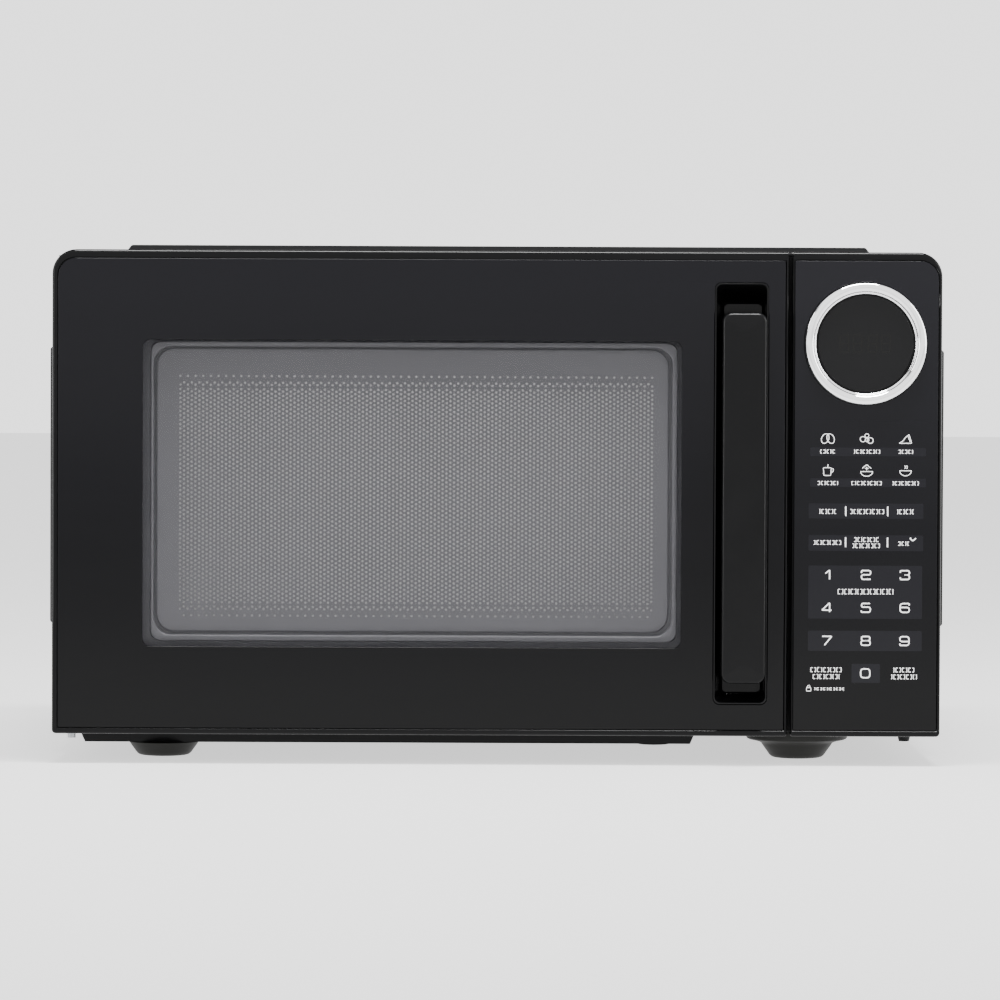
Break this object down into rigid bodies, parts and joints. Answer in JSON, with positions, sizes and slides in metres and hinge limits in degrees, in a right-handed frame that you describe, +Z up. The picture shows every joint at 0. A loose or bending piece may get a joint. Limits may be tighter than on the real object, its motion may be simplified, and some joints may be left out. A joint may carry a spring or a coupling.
{
  "type": "microwave oven",
  "caption": "Countertop microwave oven with a side-hinged glass door, recessed bar handle, glass turntable on a roller ring, touch panel with a chrome-ringed display and conical feet.",
  "frame": {"origin": "on the ground under the centre of the overall box", "axes": "+X to the right seen from the front, +Y to the back, +Z up; the door faces -Y"},
  "size_m": [0.452, 0.34, 0.2582],
  "materials": {
    "cabinet_paint": "satin black powder coat",
    "cavity_enamel": "semi-gloss grey enamel",
    "bezel_plastic": "gloss black",
    "grip_plastic": "fine satin",
    "door_back_plastic": "satin",
    "door_glass": "printed black border, tinted clear window",
    "panel_glass": "gloss, white printed legends",
    "lens": "gloss smoked lens",
    "chrome_trim": "polished",
    "screen_paint": "satin grey",
    "clear_film": "clear film",
    "tray_glass": "clear, heat resistant",
    "foot_rubber": "matte",
    "zinc_steel": "zinc plated",
    "transformer_steel": "varnished laminations",
    "copper_winding": "enamelled copper wire",
    "can_aluminium": "drawn can",
    "white_plastic": "matte",
    "lamp_body": "white",
    "duct_plastic": "matte",
    "mica": "mica sheet",
    "switch_plastic": "matte red",
    "circuit_board": "green solder mask",
    "dark_component": "matte black"
  },
  "bodies": {
    "oven": {"cabinet_cover": "cabinet_paint", "rear_panel": "cabinet_paint", "base_pan": "cabinet_paint", "front_frame": "cabinet_paint", "cavity_liner": "cavity_enamel", "control_panel": "bezel_plastic", "keypad_overlay": "panel_glass", "display_lens": "lens", "display_ring": "chrome_trim", "foot_front_left": "foot_rubber", "foot_front_right": "foot_rubber", "foot_rear_left": "foot_rubber", "foot_rear_right": "foot_rubber", "cord_gland": "foot_rubber", "cover_screw_1": "zinc_steel", "cover_screw_2": "zinc_steel", "cover_screw_3": "zinc_steel", "cover_screw_4": "zinc_steel", "lower_hinge": "zinc_steel", "upper_hinge": "zinc_steel", "turntable_motor": "zinc_steel", "waveguide": "zinc_steel", "magnetron": "zinc_steel", "fan_motor": "zinc_steel", "transformer_core": "transformer_steel", "transformer_coils": "copper_winding", "capacitor": "can_aluminium", "latch_bracket": "white_plastic", "fan_shroud": "white_plastic", "cavity_lamp": "lamp_body", "air_duct": "duct_plastic", "waveguide_cover": "mica", "door_switch_lower": "switch_plastic", "door_switch_middle": "switch_plastic", "door_switch_upper": "switch_plastic", "control_board": "circuit_board", "line_filter_board": "circuit_board", "display_module": "dark_component", "hv_diode": "dark_component", "thermal_cutout": "dark_component"},
    "door": {"door_frame": "bezel_plastic", "door_glass": "door_glass", "handle_bar": "grip_plastic", "door_screen": "screen_paint", "door_inner_film": "clear_film", "choke_cover": "door_back_plastic", "hook_spring": "zinc_steel"},
    "door_latch": {"door_hooks": "white_plastic"},
    "coupler": {"drive_coupler": "white_plastic"},
    "tray": {"glass_tray": "tray_glass"},
    "ring": {"roller_ring": "white_plastic"},
    "wheel_a": {"roller_a": "white_plastic"},
    "wheel_b": {"roller_b": "white_plastic"},
    "wheel_c": {"roller_c": "white_plastic"},
    "fan": {"fan_blade": "white_plastic"}
  },
  "joints": [
    {"name": "door_hinge", "type": "hinge", "parent": "oven", "child": "door", "pos_m": [-0.212, -0.138, 0.135], "axis": [0, 0, -1], "range_deg": [0, 100]},
    {"name": "hook_slide", "type": "slide", "parent": "door", "child": "door_latch", "axis": [0, 0, 1], "range_m": [0, 0.004], "stiffness_N_per_m": 300, "springref_m": -0.004, "deforming": ["hook_spring"]},
    {"name": "turntable_spin", "type": "hinge", "parent": "oven", "child": "coupler", "pos_m": [-0.042, 0.014, 0.04], "axis": [0, 0, 1], "continuous": true},
    {"name": "tray_lift", "type": "slide", "parent": "coupler", "child": "tray", "axis": [0, 0, 1], "range_m": [0, 0.04]},
    {"name": "ring_spin", "type": "hinge", "parent": "oven", "child": "ring", "pos_m": [-0.042, 0.014, 0.0423], "axis": [0, 0, 1], "continuous": true},
    {"name": "roller_a_spin", "type": "hinge", "parent": "ring", "child": "wheel_a", "pos_m": [-0.042, 0.102, 0.0423], "axis": [0, 1, 0], "continuous": true},
    {"name": "roller_b_spin", "type": "hinge", "parent": "ring", "child": "wheel_b", "pos_m": [-0.11821, -0.03, 0.0423], "axis": [-0.866, -0.5, 0], "continuous": true},
    {"name": "roller_c_spin", "type": "hinge", "parent": "ring", "child": "wheel_c", "pos_m": [0.03421, -0.03, 0.0423], "axis": [0.866, -0.5, 0], "continuous": true},
    {"name": "fan_spin", "type": "hinge", "parent": "oven", "child": "fan", "pos_m": [0.1675, 0.134, 0.172], "axis": [0, 1, 0], "continuous": true}
  ],
  "couplings": [
    {"joint": "ring_spin", "follows": "turntable_spin", "ratio": 0.5},
    {"joint": "roller_a_spin", "follows": "turntable_spin", "ratio": -6.2857},
    {"joint": "roller_b_spin", "follows": "turntable_spin", "ratio": -6.2857},
    {"joint": "roller_c_spin", "follows": "turntable_spin", "ratio": -6.2857}
  ]
}
